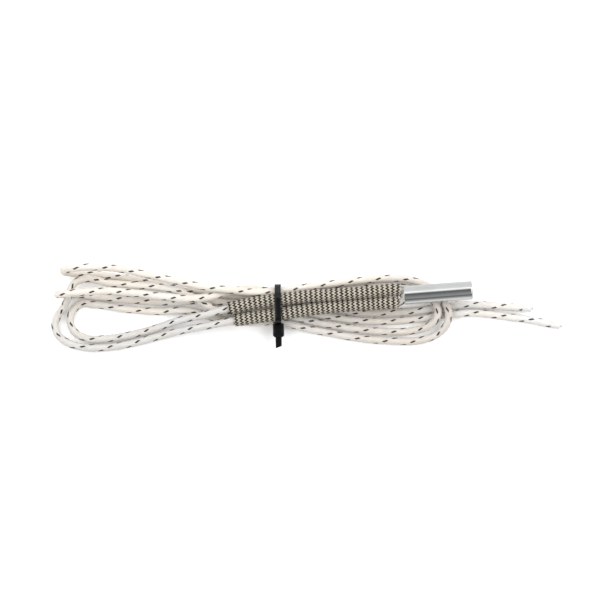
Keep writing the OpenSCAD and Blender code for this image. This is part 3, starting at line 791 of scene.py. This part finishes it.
def plain_material(name, dark, light, rough, scale=2500.0, depth=0.00003, metallic=0.0, specular=0.5):
    """A solid with a fine grain in its colour, roughness and relief."""
    m, tree, shader = new_material(name)
    grain = noise(tree, coordinates(tree, "Object", (1, 1, 1)), scale, 4.0)
    broad = noise(tree, coordinates(tree, "Object", (1, 1, 1)), scale / 12, 2.0)
    link(tree, mixed(tree, 0.5, ramp(tree, grain, [(0.3, dark), (0.7, light)]),
                     ramp(tree, broad, [(0.3, dark), (0.7, light)])), shader.inputs["Base Color"])
    link(tree, spread_to(tree, grain, *rough), shader.inputs["Roughness"])
    link(tree, bump(tree, grain, 0.4, depth), shader.inputs["Normal"])
    shader.inputs["Metallic"].default_value = metallic
    shader.inputs["Specular IOR Level"].default_value = specular
    return m


# painted shade and light along a lead: greyer where its outer folds lie in shade, warmer where light bounces
# inside the hank and lighter where its free end is brightly lit
SHADED_GREY, DULL = (0.79, 0.808, 0.831), (0.82, 0.81, 0.803)
WARM, LIT_END = (0.963, 0.954, 0.945), (0.94, 0.963, 0.993)
SHADE_ALONG_LEAD = [(0.19, SHADED_GREY), (0.26, WARM), (0.32, WARM), (0.39, DULL), (0.46, DULL), (0.52, WARM), (0.84, WARM),
          (0.88, DULL), (0.91, DULL), (0.95, LIT_END)]
LOOKS = {
    "white": yarn_material("glass_braid_white", (0.665, 0.636, 0.593), (0.84, 0.817, 0.78), (0.5, 0.72),
                           0.2, tint=(1.0, 0.965, 0.925), painted_shade=SHADE_ALONG_LEAD),
    "tracer": yarn_material("glass_braid_tracer", (0.012, 0.0092, 0.007), (0.044, 0.036, 0.029),
                            (0.5, 0.75), 0.1),
    "brown": yarn_material("sleeve_yarn_dark", (0.011, 0.0085, 0.006), (0.038, 0.029, 0.022),
                           (0.55, 0.8), 0.15),
    "cream": yarn_material("sleeve_yarn_cream", (0.363, 0.323, 0.255), (0.568, 0.529, 0.446),
                           (0.55, 0.8), 0.2),
    "wrap": yarn_material("inner_wrap", (0.6, 0.59, 0.58), (0.82, 0.81, 0.8), (0.5, 0.75), 0.25),
    "strand": steel_material("plated_strand", (0.72, 0.7, 0.66), (0.22, 0.4), (300, 3000, 3000)),
    "steel": steel_material("drawn_steel", (0.62, 0.63, 0.63), (0.08, 0.17), (25, 2600, 2600)),
    "weld": steel_material("welded_disc", (0.58, 0.59, 0.6), (0.2, 0.36), (900, 900, 900), weld=True),
    "nylon": plain_material("black_nylon", (0.0009, 0.0009, 0.001), (0.003, 0.003, 0.0034), (0.14, 0.25),
                            3500, 0.00002, specular=0.3),
    "ceramic": plain_material("core_ceramic", (0.74, 0.7, 0.64), (0.88, 0.86, 0.81), (0.6, 0.8)),
    "magnesia": plain_material("magnesia_powder", (0.66, 0.64, 0.6), (0.84, 0.82, 0.78), (0.8, 0.95),
                               5000, 0.00005),
    "cement": plain_material("seal_cement", (0.68, 0.62, 0.53), (0.84, 0.79, 0.7), (0.75, 0.95),
                             3000, 0.00006),
    "wire": plain_material("resistance_wire", (0.2, 0.18, 0.17), (0.42, 0.39, 0.36), (0.35, 0.55),
                           4000, 0.00001, metallic=1.0),
    "nickel": plain_material("drawn_nickel", (0.55, 0.53, 0.48), (0.68, 0.66, 0.6), (0.25, 0.4),
                             4000, 0.00001, metallic=1.0),
    "brass": plain_material("crimped_brass", (0.62, 0.46, 0.2), (0.8, 0.63, 0.33), (0.25, 0.42),
                            4000, 0.00001, metallic=1.0),
}


def wear(ob, look):
    ob.data.materials.clear()
    ob.data.materials.append(LOOKS[look])


def add_piece(ob, look, slot, *stands_for):
    wear(ob, look)
    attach(ob, "root")
    if stands_for:
        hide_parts(*stands_for)


add_piece(tube_piece, "steel", "sheath_steel", "sheath")
add_piece(disc_piece, "weld", "weld_steel", "end_disc")
add_piece(lead_a, "white", "lead_braid", "lead_a")
add_piece(lead_b, "white", "lead_braid", "lead_b")
add_piece(tracers_a, "tracer", "lead_braid")
add_piece(tracers_b, "tracer", "lead_braid")
for pair, node in ((sleeve_a, "sleeve_a"), (sleeve_b, "sleeve_b")):
    add_piece(pair[0], "brown", "sleeve_braid", node)
    add_piece(pair[1], "cream", "sleeve_braid")
for pair, side in ((end_a, "a"), (end_b, "b")):
    add_piece(pair[0], "wrap", "inner_wrap", "lead_wrap_" + side)
    add_piece(pair[1], "strand", "conductor", "strand_end_" + side)
add_piece(tie, "nylon", "tie_nylon", "cable_tie")

for node, look in {
    "base_cap": "ceramic", "ceramic_core": "ceramic", "resistance_coil": "wire", "magnesia_fill": "magnesia",
    "terminal_pin_long": "nickel", "terminal_pin_short": "nickel", "core_cap": "ceramic",
    "splice_ferrule_a": "brass", "splice_ferrule_b": "brass", "conductor_root_a": "strand",
    "conductor_root_b": "strand", "cement_seal": "cement",
}.items():
    wear(nodes[node], look)


# Floor and light

def make_floor():
    mesh = bpy.data.meshes.new("floor")
    corners = [(x, y, FLOOR_Z) for x, y in ((-3, -3), (3, -3), (3, 3), (-3, 3))]
    mesh.from_pydata(corners, [], [(0, 1, 2, 3)])
    ob = bpy.data.objects.new("floor", mesh)
    scene.collection.objects.link(ob)
    m, tree, shader = new_material("floor_paper")
    grain = noise(tree, coordinates(tree, "Object", (1, 1, 1)), 900.0, 3.0)
    paper = ramp(tree, grain, [(0.3, (0.93, 0.93, 0.93)), (0.7, (0.96, 0.96, 0.96))])
    # painted reflection: only the steel's reflections see a duller floor, standing in for the shade on the
    # floor by the cartridge, as if a grey card lay beside it
    path = tree.nodes.new("ShaderNodeLightPath")
    glossy_shade = ramp(tree, path.outputs["Is Glossy Ray"], [(0.0, (1, 1, 1)), (1.0, (0.68, 0.68, 0.68))])
    link(tree, mixed(tree, 1.0, paper, glossy_shade, "MULTIPLY"), shader.inputs["Base Color"])
    shader.inputs["Roughness"].default_value = 0.9
    shader.inputs["Specular IOR Level"].default_value = 0.1
    link(tree, glossy_shade, shader.inputs["Emission Color"])
    shader.inputs["Emission Strength"].default_value = 0.1
    mesh.materials.append(m)


def area(name, place, size, power):
    """A square lamp of this size that points at the middle of the hank and isn't seen itself."""
    data = bpy.data.lights.new(name, "AREA")
    data.shape = "SQUARE"
    data.size = size
    data.energy = power
    ob = bpy.data.objects.new(name, data)
    scene.collection.objects.link(ob)
    ob.location = place
    ob.rotation_mode = "QUATERNION"
    ob.rotation_quaternion = (Vector((-0.03, 0, 0)) - Vector(place)).to_track_quat("-Z", "Y")
    ob.visible_camera = False


def make_world():
    """A studio of long strips beside the cartridge, which shape the bands on its steel."""
    world = bpy.data.worlds.new("studio")
    scene.world = world
    world.use_nodes = True
    tree = world.node_tree
    tree.nodes.clear()
    out = tree.nodes.new("ShaderNodeOutputWorld")
    back = tree.nodes.new("ShaderNodeBackground")
    tc = tree.nodes.new("ShaderNodeTexCoord")
    split = tree.nodes.new("ShaderNodeSeparateXYZ")
    link(tree, tc.outputs["Generated"], split.inputs[0])
    round_x = tree.nodes.new("ShaderNodeMath")
    round_x.operation = "ARCTAN2"
    link(tree, split.outputs[1], round_x.inputs[0])
    link(tree, split.outputs[2], round_x.inputs[1])
    turned = tree.nodes.new("ShaderNodeMapRange")
    turned.inputs["From Min"].default_value = -math.pi
    turned.inputs["From Max"].default_value = math.pi
    link(tree, round_x.outputs[0], turned.inputs["Value"])
    # strips of the studio by the angle from overhead towards the far side, in degrees
    strips = [(-180, 0.75), (-96, 0.75), (-84, 0.6), (-70, 0.4), (-62, 0.19), (-53, 0.19), (-46, 0.42),
              (-30, 0.38), (-10, 0.24), (6, 0.16), (14, 0.2), (25, 1.15), (33, 1.75), (40, 1.4), (48, 1.15),
              (58, 1.03), (100, 0.98), (180, 0.8)]
    tone = ramp(tree, turned.outputs[0], [((at + 180) / 360, (g, g, g)) for at, g in strips])
    link(tree, tone, back.inputs[0])
    back.inputs[1].default_value = 1.0
    link(tree, back.outputs[0], out.inputs[0])


make_floor()
make_world()
area("softbox_left", (-0.78, 0.3, 0.92), 0.8, 5.4)
area("softbox_right", (0.74, 0.33, 0.92), 0.8, 6.4)
area("fill_left", (-0.74, -0.34, 0.95), 0.9, 4.2)
area("fill_right", (0.74, -0.34, 0.95), 0.9, 5.2)
scene.view_settings.view_transform = "Standard"
scene.view_settings.look = "None"
